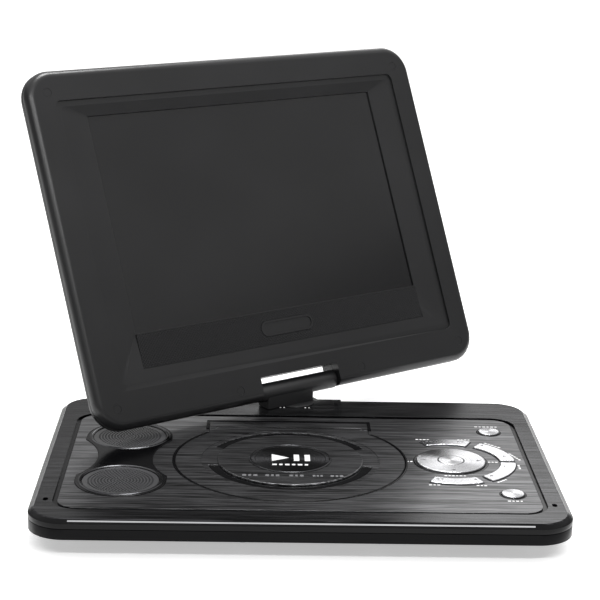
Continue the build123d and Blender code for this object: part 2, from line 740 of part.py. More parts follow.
leaf_span = (1.5, 16.0, -4.0, -2.4)     # a hinge leaf's height and depth in the lid


def lid_slab(inset, low, high):
    return slab(lid_width - 2 * inset, lid_height - 2 * inset, lid_corner - inset, low, high, 0.0, lid_middle)


def make_bezel():
    body = lid_slab(0.0, lid_seam, lid_front)
    body = fillet(body.edges().group_by(Axis.Z)[-1], bezel_round)
    frame_mid, frame_size = (frame_low + frame_high) / 2, frame_high - frame_low
    body -= slab(2 * frame_half, frame_size, 4.0, frame_floor_z, lid_front + over, 0.0, frame_mid)
    window_mid, window_size = (window_low + window_high) / 2, window_high - window_low
    floor = (2 * frame_half - frame_slope, frame_size - frame_slope, 3.0, frame_mid)
    body -= taper((2 * window_half, window_size, 1.5, window_mid), floor, window_edge_z, frame_floor_z)
    body -= block(-window_half, window_half, window_low, window_high, 0.0, lid_front)
    body -= block(-trim_half, trim_half, trim_low, trim_high, bezel_inner_z - over, lid_front)
    body -= lid_slab(cavity_margin, lid_seam - over, bezel_inner_z) - notch_wall
    for x, y in lid_plugs:
        body -= disc(plug_radius + plug_play, lid_front - plug_deep, lid_front + over, x, y)
    return body - notch - pin_holes - leaf_reliefs


def back_outline(low_inset, side_inset, corner, low, high, inset=0.0):
    """A flat dome, inset at the sides and top and less at the hinge."""
    wide = lid_width - 2 * side_inset
    tall = lid_height - low_inset - side_inset
    middle = (lid_bottom + low_inset + lid_top - side_inset) / 2
    outer = (lid_width - 2 * inset, lid_height - 2 * inset, lid_corner - inset, lid_middle)
    return taper((wide, tall, corner, middle), outer, low, high)


def make_back_cover():
    top_z = lid_seam - seam
    body = back_outline(dome_low, dome_side, dome_corner, lid_back, back_low_z)
    body = fillet(body.edges().group_by(Axis.Z)[0], dome_round)
    body += lid_slab(0.0, back_low_z, top_z)
    insets = (dome_low + wall, dome_side + wall, dome_corner - wall)
    inner = back_outline(*insets, lid_back + wall, cover_floor_z, wall)
    inner += lid_slab(wall, cover_floor_z, top_z + over)
    return body - (inner - notch_wall) - notch - pin_holes - leaf_reliefs


def badge_slab(inset, low, high):
    height = badge_height - 2 * inset
    return slab(badge_width - 2 * inset, height, height * round_end, low, high, 0.0, badge_v)


def make_trim():
    body = block(-trim_half + trim_play, trim_half - trim_play, trim_low + trim_play, trim_high - trim_play,
                 bezel_inner_z, trim_top_z)
    return body - badge_slab(-trim_play, badge_low_z, lid_front)


def make_lid_badge():
    return badge_slab(0.0, badge_low_z, badge_top_z) - badge_slab(badge_rim, badge_top_z - 0.5, lid_front)


def window_slab(margin, low, high):
    middle = (window_low + window_high) / 2
    width, height = 2 * (window_half + margin), window_high - window_low + 2 * margin - 1.0
    return slab(width, height, 1.0, low, high, 0.0, middle)


def make_lid_board():
    top_z = lid_board_box[-1]
    chips = [block(*spot, top_z, top_z + tall) for *spot, tall in lid_chips]
    return join([block(*lid_board_box)] + chips)


def make_brackets():
    """Friction hinge leaf for each tilt pin, screwed inside the lid."""
    leaves = []
    for side in (-1, 1):
        x0, x1 = sorted((side * leaf_near, side * leaf_far))
        leaf = block(*sorted((side * leaf_near, side * leaf_end)), *leaf_span)
        leaves.append(rod_x(leaf_boss, x0, x1) + leaf - rod_x(pin_radius + running, x0 - over, x1 + over))
    return leaves


def make_plugs():
    return [disc(plug_radius, lid_front - plug_deep, lid_front - plug_play, x, y) for x, y in lid_plugs]


# ---- Writing

save("bottom_shell", make_bottom_shell())
save("top_cover", make_top_cover())
save("deck_panel", make_deck_panel())
save("speaker_surround", make_speaker_surround())
for place, y in speaker_rows.items():
    save(f"speaker_grille_{place}", make_grille(y))
    save(f"speaker_driver_{place}", make_driver(y))
save("rubber_feet", *[disc(foot_radius - 0.05, -foot_drop, wall / 2, x, y) for x, y in foot_spots])
save("base_screws", *[disc(screw_radius, screw_head_z - 1.0, cover_roof_z - 0.4, x, y)
                      + disc(screw_head, screw_head_z - 2.0, screw_head_z, x, y) for x, y in screw_posts])
save("battery_door", make_battery_door())
save("battery_pack", *make_battery())
save("main_board", make_main_board())
save("key_board", make_key_board())

save("disc_well", make_disc_well())
save("loader_chassis", make_chassis())
save("loader_dampers", *make_dampers())
save("spindle_motor", make_spindle_motor())
save("spindle_hub", make_spindle_hub())
save("guide_rods", *[rod_x(rod_radius, rod_start, rod_end, y, rod_z) for y in rod_ys])
save("sled_screw", rod_x(screw_drive_radius, rod_start + ear_thick + over, rod_end, screw_y, rod_z))
save("pickup_sled", make_sled())
save("pickup_lens", make_lens())
save("sled_motor", make_sled_motor())

save("disc_door", make_door())
save("door_ring", make_door_ring())
save("door_centre", make_door_centre())
save("door_badge", make_door_badge())
save("door_hinge_pins", *make_door_pins())
save("door_hinge_cover", make_hinge_cover())
save("door_catch", make_catch())

save("dial_ring", make_dial())
save("centre_key", make_centre_key())
for place, (x, y) in round_keys.items():
    save(f"round_key_{place}", make_round_key(x, y))
for place, (start, end) in arc_keys.items():
    save(f"arc_key_{place}", make_arc_key(start, end))
save("power_switch", make_switch())

for name, y in jack_ys.items():
    save(name, make_jack(y))
save("dc_inlet", make_dc_inlet())
save("usb_port", make_usb())
save("card_slot", make_card_slot())

save("swivel_turntable", swivel_place * make_turntable())
save("hinge_barrel", swivel_place * make_barrel())
save("swivel_shaft", swivel_place * make_shaft())
save("friction_washer", swivel_place * make_washer())
save("swivel_nut", swivel_place * make_nut())
save("tilt_pins", *[swivel_place * pin for pin in make_tilt_pins()])

for name, piece in (("lid_bezel", make_bezel()), ("lid_back_cover", make_back_cover()),
                    ("lid_trim", make_trim()), ("lid_badge", make_lid_badge()), ("lid_board", make_lid_board()),
                    ("screen_window", window_slab(lcd_margin - 1.0, lcd_high_z, bezel_inner_z)),
                    ("lcd_panel", window_slab(lcd_margin, lcd_low_z, lcd_high_z))):
    save(name, lid_plane.location * piece)
for name, pieces in (("lid_brackets", make_brackets()), ("screw_plugs", make_plugs())):
    save(name, *[lid_plane.location * piece for piece in pieces])
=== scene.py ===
import bpy
import json
from math import atan2, cos, pi, radians, sin
from mathutils import Matrix, Vector


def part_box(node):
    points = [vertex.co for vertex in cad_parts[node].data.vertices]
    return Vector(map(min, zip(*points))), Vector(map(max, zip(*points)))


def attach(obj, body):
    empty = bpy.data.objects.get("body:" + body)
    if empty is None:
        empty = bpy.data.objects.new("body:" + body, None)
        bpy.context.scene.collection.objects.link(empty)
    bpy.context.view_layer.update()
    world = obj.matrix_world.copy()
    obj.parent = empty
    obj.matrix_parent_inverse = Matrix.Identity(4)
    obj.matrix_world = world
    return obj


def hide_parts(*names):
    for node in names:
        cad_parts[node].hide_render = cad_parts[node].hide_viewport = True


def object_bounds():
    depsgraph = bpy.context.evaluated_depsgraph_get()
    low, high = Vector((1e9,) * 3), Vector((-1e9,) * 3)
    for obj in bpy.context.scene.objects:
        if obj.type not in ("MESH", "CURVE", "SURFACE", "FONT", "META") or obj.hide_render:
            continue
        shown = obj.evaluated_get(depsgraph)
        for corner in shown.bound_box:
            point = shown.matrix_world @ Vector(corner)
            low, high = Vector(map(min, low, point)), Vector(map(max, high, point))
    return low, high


# Portable disc player: the CAD model is the frame, this script gives it its looks.
# Metres, X to the right, Y to the rear, Z up.

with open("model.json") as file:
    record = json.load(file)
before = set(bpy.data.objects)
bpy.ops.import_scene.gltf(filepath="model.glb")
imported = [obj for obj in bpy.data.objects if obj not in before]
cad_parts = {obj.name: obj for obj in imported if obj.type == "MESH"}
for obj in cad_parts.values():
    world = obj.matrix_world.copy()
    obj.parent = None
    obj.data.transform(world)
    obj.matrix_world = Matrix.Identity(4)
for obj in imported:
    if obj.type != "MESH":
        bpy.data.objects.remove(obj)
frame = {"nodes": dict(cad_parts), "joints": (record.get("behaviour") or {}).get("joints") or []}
cadLow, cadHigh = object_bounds()
mm = 0.001
nodes = frame["nodes"]
bpy.context.scene.view_settings.view_transform = "Standard"


def middleOf(node):
    low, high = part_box(node)
    return (low + high) / 2


def topOf(node):
    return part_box(node)[1].z


# places that several pieces share, read from the frame
joints = {joint["name"]: joint for joint in frame["joints"]}
doorCentre = middleOf("door_ring")
dialCentre = middleOf("dial_ring")
lidPivot = Vector(joints["lid_tilt"]["pos_m"])
lidAcross = -Vector(joints["lid_tilt"]["axis"]).normalized()
lidLean = radians(-joints["lid_tilt"]["range_deg"][0] - 90)      # shut is 90 degrees past upright
lidBack = Vector((0, 0, 1)).cross(lidAcross)
lidUp = (Vector((0, 0, 1)) * cos(lidLean) + lidBack * sin(lidLean)).normalized()
print("frame loaded:", len(nodes), "nodes")


camera = {
    "focal": 106.9, "distance": 0.970, "aim": (-0.00096, 0.0, 0.10903),
    "elevation": 14.746, "yaw": 1.526, "roll": 1.285, "sensor": 36.0,
}


def makeCamera(c):
    rise, yaw, roll = radians(c["elevation"]), radians(c["yaw"]), radians(c["roll"])
    ahead = Vector((sin(yaw) * cos(rise), cos(yaw) * cos(rise), -sin(rise)))
    right = Vector((cos(yaw), -sin(yaw), 0))
    up = right.cross(ahead)
    side = right * cos(roll) + up * sin(roll)
    top = up * cos(roll) - right * sin(roll)
    bpy.ops.object.camera_add()
    cam = bpy.context.object
    turn = Matrix((side, top, -ahead)).transposed().to_4x4()
    turn.translation = Vector(c["aim"]) - ahead * c["distance"]
    cam.matrix_world = turn
    cam.data.lens, cam.data.sensor_width = c["focal"], c["sensor"]
    bpy.context.scene.camera = cam


lights = {      # where, aimed at, size in metres, and power
    # bright line on the front edge
    "frontStrip": {"at": (0.1, -1.05, 1.15), "aim": (0, -0.1, 0), "size": (1.6, 0.09), "watts": 13.0},
    # far sheen
    "rearBox": {"at": (0.3, 1.5, 0.8), "aim": (0, 0, 0.02), "size": (0.7, 0.5), "watts": 2.0},
    # sheen across the middle of the deck
    "deckGlow": {"at": (0.03, 0.35, 1.15), "aim": (0, 0, 0.02), "size": (0.3, 0.5), "watts": 10.0},
    # soft reflection in the screen
    "rightFill": {"at": (1.5, -0.3, 1.15), "aim": (0, 0, 0.1), "size": (0.9, 0.7), "watts": 0.8},
}
studio = {"sun": 1.5, "sunAngle": 110, "sunTilt": 12, "world": 0.3}       # an even white floor


def makeLights(table, c):
    for name, light in table.items():
        bpy.ops.object.light_add(type="AREA", location=light["at"])
        lamp = bpy.context.object
        lamp.name = name
        lamp.data.shape = "RECTANGLE"
        lamp.data.size, lamp.data.size_y = light["size"]
        lamp.data.energy = light["watts"]
        lamp.rotation_euler = (Vector(light["aim"]) - lamp.location).to_track_quat("-Z", "Y").to_euler()
    bpy.ops.object.light_add(type="SUN", location=(0, 0, 2), rotation=(radians(-c["sunTilt"]), 0, 0))
    sun = bpy.context.object
    sun.name = "overheadSun"
    sun.data.energy, sun.data.angle = c["sun"], radians(c["sunAngle"])
    world = bpy.data.worlds.new("studio")
    world.use_nodes = True
    sky = world.node_tree.nodes["Background"]
    sky.inputs["Color"].default_value = (1, 1, 1, 1)
    sky.inputs["Strength"].default_value = c["world"]
    bpy.context.scene.world = world


makeCamera(camera)
makeLights(lights, studio)
print("camera and lights made")


def shade(hexText):
    parts = [int(hexText[i:i + 2], 16) / 255 for i in (1, 3, 5)]
    return tuple(v / 12.92 if v <= 0.04045 else ((v + 0.055) / 1.055) ** 2.4 for v in parts) + (1.0,)


def addNode(tree, kind, settings=None, links=None):
    node = tree.nodes.new(kind)
    for name, value in (settings or {}).items():
        if name == "stops":      # two (position, hex) pairs of a colour ramp
            for stop, (position, hexText) in zip(node.color_ramp.elements, value):
                stop.position, stop.color = position, shade(hexText)
        elif isinstance(name, int) or name in node.inputs:
            node.inputs[name].default_value = value
        else:
            setattr(node, name, value)
    for name, source in (links or {}).items():
        tree.links.new(source, node.inputs[name])
    return node


def blank(name, settings):
    material = bpy.data.materials.new(name)
    material.use_nodes = True
    tree = material.node_tree
    surface = tree.nodes["Principled BSDF"]
    for socket, value in settings.items():
        surface.inputs[socket].default_value = value
    return material, tree, surface


def grainy(name, dark, light, rough, grain, relief, settings=None):
    material, tree, surface = blank(name, settings or {})
    place = addNode(tree, "ShaderNodeTexCoord").outputs["Object"]
    fine = addNode(tree, "ShaderNodeTexNoise", {"Scale": 1 / (grain * mm), "Detail": 3.0}, {"Vector": place})
    broad = addNode(tree, "ShaderNodeTexNoise", {"Scale": 1 / (45 * mm), "Detail": 1.0}, {"Vector": place})
    tone = addNode(tree, "ShaderNodeValToRGB", {"stops": ((0.3, dark), (0.7, light))}, {"Fac": broad.outputs["Fac"]})
    gloss = addNode(tree, "ShaderNodeMapRange", {"To Min": rough[0], "To Max": rough[1]}, {"Value": fine.outputs["Fac"]})
    tree.links.new(tone.outputs["Color"], surface.inputs["Base Color"])
    tree.links.new(gloss.outputs["Result"], surface.inputs["Roughness"])
    bump = addNode(tree, "ShaderNodeBump", {"Strength": relief, "Distance": 0.05 * mm},
                   {"Height": fine.outputs["Fac"]})
    tree.links.new(bump.outputs["Normal"], surface.inputs["Normal"])
    return material


def hairline(name, dark, light, rough, settings, lowest=None):
    material, tree, surface = blank(name, settings)
    place = addNode(tree, "ShaderNodeTexCoord").outputs["Object"]
    layers = []
    for length, width in ((24, 0.6), (50, 1.35)):      # mm: fine and coarse streaks
        scale = (1 / (length * mm), 1 / (width * mm), 1 / (width * mm))
        stretched = addNode(tree, "ShaderNodeMapping", {"Scale": scale}, {"Vector": place})
        layers.append(addNode(tree, "ShaderNodeTexNoise", {"Scale": 1.0, "Detail": 4.0, "Roughness": 0.6},
                              {"Vector": stretched.outputs["Vector"]}))
    both = addNode(tree, "ShaderNodeMath", {"operation": "ADD"},
                   {0: layers[0].outputs["Fac"], 1: layers[1].outputs["Fac"]})
    half = addNode(tree, "ShaderNodeMath", {"operation": "MULTIPLY", 1: 0.5}, {0: both.outputs["Value"]})
    streaks = half.outputs["Value"]
    tone = addNode(tree, "ShaderNodeValToRGB", {"stops": ((0.44, dark), (0.57, light))}, {"Fac": streaks})
    gloss = addNode(tree, "ShaderNodeMapRange", {"To Min": rough[0], "To Max": rough[1]}, {"Value": streaks})
    colour = tone.outputs["Color"]
    if lowest is not None:
        parts = addNode(tree, "ShaderNodeSeparateXYZ", links={"Vector": place})
        above = addNode(tree, "ShaderNodeMath", {"operation": "GREATER_THAN", 1: lowest}, {0: parts.outputs["Z"]})
        paint = addNode(tree, "ShaderNodeMix", {"data_type": "RGBA", 6: shade("#030304")},
                        {0: above.outputs["Value"], 7: colour})
        colour = paint.outputs[2]
        shine = addNode(tree, "ShaderNodeMath", {"operation": "MULTIPLY", 1: settings["Metallic"]},
                        {0: above.outputs["Value"]})
        tree.links.new(shine.outputs["Value"], surface.inputs["Metallic"])
    tree.links.new(colour, surface.inputs["Base Color"])
    tree.links.new(gloss.outputs["Result"], surface.inputs["Roughness"])
    bump = addNode(tree, "ShaderNodeBump", {"Strength": 0.25, "Distance": 0.04 * mm}, {"Height": streaks})
    tree.links.new(bump.outputs["Normal"], surface.inputs["Normal"])
    grainWay = addNode(tree, "ShaderNodeCombineXYZ", {"X": 1.0})
    tree.links.new(grainWay.outputs["Vector"], surface.inputs["Tangent"])
    return material


def spunPaintedSheen(name, dark, light, rough, centre, paintedSheenLowest=0.45):
    material, tree, surface = blank(name, {"Metallic": 1.0, "Anisotropic": 0.9})
    place = addNode(tree, "ShaderNodeTexCoord").outputs["Object"]
    offset = addNode(tree, "ShaderNodeVectorMath", {"operation": "SUBTRACT", 1: tuple(centre)}, {0: place})
    along = addNode(tree, "ShaderNodeVectorMath", {"operation": "CROSS_PRODUCT", 1: (0, 0, 1)},
                    {0: offset.outputs["Vector"]})
    unit = addNode(tree, "ShaderNodeVectorMath", {"operation": "NORMALIZE"}, {0: along.outputs["Vector"]})
    radius = addNode(tree, "ShaderNodeVectorMath", {"operation": "LENGTH"}, {0: offset.outputs["Vector"]})
    rings = addNode(tree, "ShaderNodeTexNoise", {"noise_dimensions": "1D", "Scale": 1 / (0.35 * mm), "Detail": 3.0},
                    {"W": radius.outputs["Value"]})
    # painted highlight: the colour is scaled by the cosine of twice the angle round the centre, which gives two bright
    # wings of painted sheen in place of the bow-tie reflection of spun metal
    parts = addNode(tree, "ShaderNodeSeparateXYZ", links={"Vector": offset.outputs["Vector"]})
    angle = addNode(tree, "ShaderNodeMath", {"operation": "ARCTAN2"}, {0: parts.outputs["Y"], 1: parts.outputs["X"]})
    twice = addNode(tree, "ShaderNodeMath", {"operation": "MULTIPLY_ADD", 1: 2.0, 2: -1.2}, {0: angle.outputs["Value"]})
    paintedWings = addNode(tree, "ShaderNodeMath", {"operation": "COSINE"}, {0: twice.outputs["Value"]})
    paintedSheen = addNode(tree, "ShaderNodeMapRange", {"From Min": -1.0, "From Max": 1.0, "To Min": paintedSheenLowest, "To Max": 1.0},
                    {"Value": paintedWings.outputs["Value"]})
    tone = addNode(tree, "ShaderNodeValToRGB", {"stops": ((0.3, dark), (0.7, light))}, {"Fac": rings.outputs["Fac"]})
    gloss = addNode(tree, "ShaderNodeMapRange", {"To Min": rough[0], "To Max": rough[1]}, {"Value": rings.outputs["Fac"]})
    toneWithPaintedSheen = addNode(tree, "ShaderNodeVectorMath", {"operation": "SCALE"},
                     {0: tone.outputs["Color"], "Scale": paintedSheen.outputs["Result"]})
    tree.links.new(toneWithPaintedSheen.outputs["Vector"], surface.inputs["Base Color"])
    tree.links.new(gloss.outputs["Result"], surface.inputs["Roughness"])
    tree.links.new(unit.outputs["Vector"], surface.inputs["Tangent"])
    bump = addNode(tree, "ShaderNodeBump", {"Strength": 0.1, "Distance": 0.02 * mm}, {"Height": rings.outputs["Fac"]})
    tree.links.new(bump.outputs["Normal"], surface.inputs["Normal"])
    return material


def hatched(name, dark, light, pitch):
    material, tree, surface = blank(name, {"Roughness": 0.55, "Specular IOR Level": 0.2})
    place = addNode(tree, "ShaderNodeTexCoord").outputs["Object"]
    waves = []
    for way in (1, -1):
        direction = (lidAcross + lidUp * way).normalized() * (2 * pi / (pitch * mm))
        run = addNode(tree, "ShaderNodeVectorMath", {"operation": "DOT_PRODUCT", 1: tuple(direction)}, {0: place})
        waves.append(addNode(tree, "ShaderNodeMath", {"operation": "SINE"}, {0: run.outputs["Value"]}))
    peak = addNode(tree, "ShaderNodeMath", {"operation": "MAXIMUM"},
                   {0: waves[0].outputs["Value"], 1: waves[1].outputs["Value"]})
    tone = addNode(tree, "ShaderNodeValToRGB", {"stops": ((0.0, dark), (1.0, light))}, {"Fac": peak.outputs["Value"]})
    tree.links.new(tone.outputs["Color"], surface.inputs["Base Color"])
    bump = addNode(tree, "ShaderNodeBump", {"Strength": 0.6, "Distance": 0.15 * mm}, {"Height": peak.outputs["Value"]})
    tree.links.new(bump.outputs["Normal"], surface.inputs["Normal"])
    return material


def boardMaterial(name):
    material, tree, surface = blank(name, {"Roughness": 0.35})
    place = addNode(tree, "ShaderNodeTexCoord").outputs["Object"]
    look = {"Scale": 1 / (6 * mm), "Mortar Size": 0.03}
    look.update({"Color1": shade("#0d4a26"), "Color2": shade("#125530"), "Mortar": shade("#3f7a4a")})
    tracks = addNode(tree, "ShaderNodeTexBrick", look, {"Vector": place})
    tree.links.new(tracks.outputs["Color"], surface.inputs["Base Color"])
    return material


meshAbs = grainy("meshAbs", "#303031", "#3e3e40", (0.3, 0.42), 0.6, 0.1)      # the grilles, a little lighter
satinAbs = grainy("satinAbs", "#161617", "#1d1d1e", (0.36, 0.5), 0.5, 0.18)     # spark-eroded ABS: soft broad sheen
lidAbs = grainy("lidAbs", "#131314", "#181819", (0.28, 0.38), 0.5, 0.15, {"Specular IOR Level": 0.45})    # finer grain
glossAbs = grainy("glossAbs", "#030304", "#060607", (0.12, 0.18), 2.0, 0.04, {"Specular IOR Level": 0.25})   # polished
bellyAbs = grainy("bellyAbs", "#020203", "#040405", (0.2, 0.3), 1.0, 0.1, {"Specular IOR Level": 0.08})    # near black
darkWell = grainy("darkWell", "#0e0e0f", "#141415", (0.4, 0.55), 0.6, 0.2)      # moulded ABS inside the well
screenGlass = grainy("screenGlass", "#0e0e0f", "#121213", (0.14, 0.18), 3.0, 0.02, {"IOR": 1.49})     # acrylic
foilMetal = {"Metallic": 0.85, "Anisotropic": 0.7, "Coat Weight": 0.25, "Coat Roughness": 0.2}
coverMetal = {"Metallic": 0.85, "Anisotropic": 0.6, "Specular IOR Level": 0.15}
brushedFoil = hairline("brushedFoil", "#0e0e0f", "#767678", (0.28, 0.44), foilMetal)      # dark brushed metal
foilEdge = topOf("top_cover") - 0.4 * mm      # the foil ends here, and bare black plastic starts
coverFoil = hairline("coverFoil", "#0a0a0b", "#454547", (0.2, 0.3), coverMetal, foilEdge)       # the same foil, smoother
spunKeysPaintedSheen = spunPaintedSheen("spunKeysPaintedSheen", "#b4b4b7", "#f0f0f2", (0.17, 0.25), dialCentre)      # spun metal, with two bright wings of painted highlight in its colour
spunArcsPaintedSheen = spunPaintedSheen("spunArcsPaintedSheen", "#d0d0d3", "#f4f4f6", (0.2, 0.3), dialCentre, 0.85)      # the arc keys, with a weaker painted highlight, so evenly bright
spunBadgePaintedSheen = spunPaintedSheen("spunBadgePaintedSheen", "#2a2a2b", "#454547", (0.22, 0.32), doorCentre)    # dark turned disc, with a painted bow-tie highlight in its colour
polishedLineAndPaintedHighlight = grainy("polishedLineAndPaintedHighlight", "#b8b8ba", "#d0d0d2", (0.1, 0.16), 1.0, 0.02, {"Metallic": 1.0})  # bright polished metal; along the front bevel it is a painted highlight
darkChrome = grainy("darkChrome", "#3c3c3e", "#505052", (0.12, 0.2), 1.0, 0.02, {"Metallic": 1.0})     # smoked edge line
trimHatch = hatched("trimHatch", "#0c0c0c", "#18181a", 1.4)      # dull diamond grain
whitePrint = grainy("whitePrint", "#d2d2d2", "#e8e8e8", (0.5, 0.6), 0.3, 0.1)   # pad-printed ink
greyPrint = grainy("greyPrint", "#5a5a5c", "#68686a", (0.5, 0.6), 0.3, 0.1)     # fainter ink
rubber = grainy("nitrileRubber", "#131313", "#1b1b1b", (0.7, 0.85), 0.4, 0.4)   # dull and soft
metal = {"Metallic": 1.0}
steel = grainy("zincPlatedSteel", "#8d8f92", "#a9abae", (0.25, 0.4), 0.8, 0.1, metal)     # cool, half bright
zincSheet = grainy("galvanisedSheet", "#7a7c7f", "#9a9ca0", (0.35, 0.5), 3.0, 0.1, metal)      # cloudy plating
brass = grainy("springBrass", "#9b7a3c", "#b8954f", (0.28, 0.4), 0.8, 0.1, metal)      # warm washer
cellWrap = grainy("cellWrap", "#3b4f78", "#46608c", (0.3, 0.4), 4.0, 0.1)       # shrink film round the cells
lensGlass = grainy("lensGlass", "#1c2440", "#27325a", (0.04, 0.07), 1.0, 0.01)  # coated pickup lens
boardGreen = boardMaterial("boardGreen")                                       # lacquer over copper tracks

finishes = {
    satinAbs: ["speaker_grille_rear", "speaker_grille_front", "battery_door", "power_switch", "swivel_turntable",
               "hinge_barrel", "door_catch"],
    lidAbs: ["lid_bezel", "lid_back_cover", "lid_badge", "screw_plugs"],
    bellyAbs: ["bottom_shell"],
    glossAbs: ["speaker_surround", "headphone_jack", "av_jack", "dc_inlet", "card_slot"],
    darkWell: ["disc_well", "spindle_hub", "pickup_sled"],
    coverFoil: ["top_cover"],
    brushedFoil: ["deck_panel", "disc_door", "door_centre", "door_ring", "door_hinge_cover"],
    spunKeysPaintedSheen: ["dial_ring", "centre_key"],
    spunArcsPaintedSheen: ["arc_key_rear", "arc_key_right_rear", "arc_key_right_front", "arc_key_front"],
    spunBadgePaintedSheen: ["door_badge"],
    screenGlass: ["screen_window"],
    trimHatch: ["lid_trim"],
    rubber: ["rubber_feet", "loader_dampers"],
    steel: ["base_screws", "guide_rods", "sled_screw", "door_hinge_pins", "usb_port", "swivel_shaft", "swivel_nut",
            "tilt_pins", "lid_brackets"],
    zincSheet: ["speaker_driver_rear", "speaker_driver_front", "loader_chassis", "spindle_motor", "sled_motor",
                "lcd_panel"],
    brass: ["friction_washer"],
    cellWrap: ["battery_pack"],
    lensGlass: ["pickup_lens"],
    boardGreen: ["main_board", "key_board", "lid_board"],
}


def dress(piece, material):
    piece.data.materials.clear()
    piece.data.materials.append(material)


for material, names in finishes.items():
    for name in names:
        dress(nodes[name], material)
# the round keys: spun metal with a painted bow-tie highlight about each key's middle
for place in ("rear", "front"):
    key = f"round_key_{place}"
    dress(nodes[key], spunPaintedSheen(f"spunKeyPaintedSheen_{place}", "#b4b4b7", "#f0f0f2", (0.17, 0.25), middleOf(key)))
print("materials made")

# how far each moulding's sharp edges are rounded, in mm
edges = {
    "disc_door": 0.5, "deck_panel": 0.35, "top_cover": 1.1, "bottom_shell": 0.5, "lid_bezel": 0.4, "lid_back_cover": 0.5,
    "lid_trim": 0.25, "hinge_barrel": 0.35, "door_hinge_cover": 0.3, "speaker_surround": 0.3, "door_ring": 0.15,
    "battery_door": 0.3, "swivel_turntable": 0.1, "power_switch": 0.3,
}
for name, width in edges.items():
    weld = nodes[name].modifiers.new("weld", "WELD")
    weld.merge_threshold = 0.001 * mm
    rounding = nodes[name].modifiers.new("rounding", "BEVEL")
    rounding.width, rounding.segments, rounding.limit_method = width * mm, 3, "ANGLE"
    rounding.angle_limit, rounding.harden_normals = radians(38), True
print("edges rounded:", len(edges))


def only(*pieces):
    bpy.ops.object.select_all(action="DESELECT")
    for piece in pieces:
        piece.select_set(True)
    bpy.context.view_layer.objects.active = pieces[0]


def edit(*steps):
    bpy.ops.object.mode_set(mode="EDIT")
    bpy.ops.mesh.select_all(action="SELECT")
    for operator, settings in steps:
        operator(**settings)
    bpy.ops.object.mode_set(mode="OBJECT")


def joined(pieces):
    only(*pieces)
    if len(pieces) > 1:
        bpy.ops.object.join()
    return bpy.context.object


def seal(piece, name, body, material, replaced=()):      # the last step of every new piece
    only(piece)
    bpy.ops.object.transform_apply(location=True, rotation=True, scale=True)
    edit((bpy.ops.mesh.remove_doubles, {"threshold": 0.0005 * mm}), (bpy.ops.mesh.normals_make_consistent, {}))
    bpy.ops.object.shade_smooth_by_angle(angle=radians(35))
    piece.name = piece.data.name = name
    dress(piece, material)
    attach(piece, body)
    for node in replaced:
        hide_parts(node)
    return piece


def box(centre, size, turn=0.0):
    bpy.ops.mesh.primitive_cube_add(size=1, location=centre, rotation=(0, 0, turn))
    piece = bpy.context.object
    piece.scale = size
    return piece


def prism(centre, radius, tall, sides, turn=0.0):
    bpy.ops.mesh.primitive_cylinder_add(vertices=sides, radius=radius, depth=tall, location=centre, rotation=(0, 0, turn))
    return bpy.context.object


def torus(centre, radius, thick, squash=1.0):
    bpy.ops.mesh.primitive_torus_add(location=centre, major_radius=radius, minor_radius=thick,
                                     major_segments=120, minor_segments=14)
    bpy.context.object.scale.z = squash
    return bpy.context.object


def cut(body, tool):
    only(body)
    hole = body.modifiers.new("hole", "BOOLEAN")
    hole.operation, hole.solver, hole.object = "DIFFERENCE", "EXACT", tool
    bpy.ops.object.modifier_apply(modifier="hole")
    bpy.data.objects.remove(tool)


grille = {
    "plate": 20.4, "rings": 11, "step": 1.72, "hole": 0.6, "apart": 1.75, "thick": 1.1,    # mm
    "rimRadius": 21.9, "rimThick": 1.0, "rimSquash": 0.6,
}


def makeGrille(side, g):
    node = f"speaker_grille_{side}"
    middle, top = middleOf(node), topOf(node)
    centre = Vector((middle.x, middle.y, top - g["thick"] / 2 * mm))
    plate = prism(centre, g["plate"] * mm, g["thick"] * mm, 96)
    drills = [prism(centre, g["hole"] * mm, 4 * mm, 8)]
    for ring in range(1, g["rings"]):
        radius = ring * g["step"]
        count = round(2 * pi * radius / g["apart"])
        drill = prism(centre + Vector((radius * mm, 0, 0)), g["hole"] * mm, 4 * mm, 8)
        only(drill)
        bpy.ops.object.transform_apply(location=True, rotation=True, scale=True)
        edit((bpy.ops.mesh.spin, {"steps": count - 1, "dupli": True, "angle": 2 * pi * (count - 1) / count,
                                  "center": centre, "axis": (0, 0, 1)}))
        drills.append(drill)
    cut(plate, joined(drills))
    seal(plate, f"grille_{side}", "base", meshAbs, [node])
    rim = torus((middle.x, middle.y, topOf("speaker_surround") - 0.2 * mm), g["rimRadius"] * mm, g["rimThick"] * mm,
                g["rimSquash"])
    seal(rim, f"grille_rim_{side}", "base", darkChrome)


for side in ("rear", "front"):
    makeGrille(side, grille)
print("speaker grilles made")

badge = {"rimRadius": 21.9, "rimThick": 0.45, "innerRadius": 19.8, "innerThick": 0.2}       # mm


def makeBadge(c):
    top = topOf("door_badge")
    rim = torus((doorCentre.x, doorCentre.y, top - 0.25 * mm), c["rimRadius"] * mm, c["rimThick"] * mm)
    seal(rim, "badge_rim", "door", darkChrome)
    line = torus((doorCentre.x, doorCentre.y, top - 0.42 * mm), c["innerRadius"] * mm, c["innerThick"] * mm)
    seal(line, "badge_line", "door", polishedLineAndPaintedHighlight)


makeBadge(badge)
print("badge made")

outline = {      # mm: the black line round the disc door, painted shade in place of the shadow in its gap
    "gap": 0.15, "thick": 0.9, "squash": 0.35,
    "shortOf": 10.5,      # the round part stops this far from the door's rear edge
    "sideLong": 15.0, "sideBack": 6.5,
}


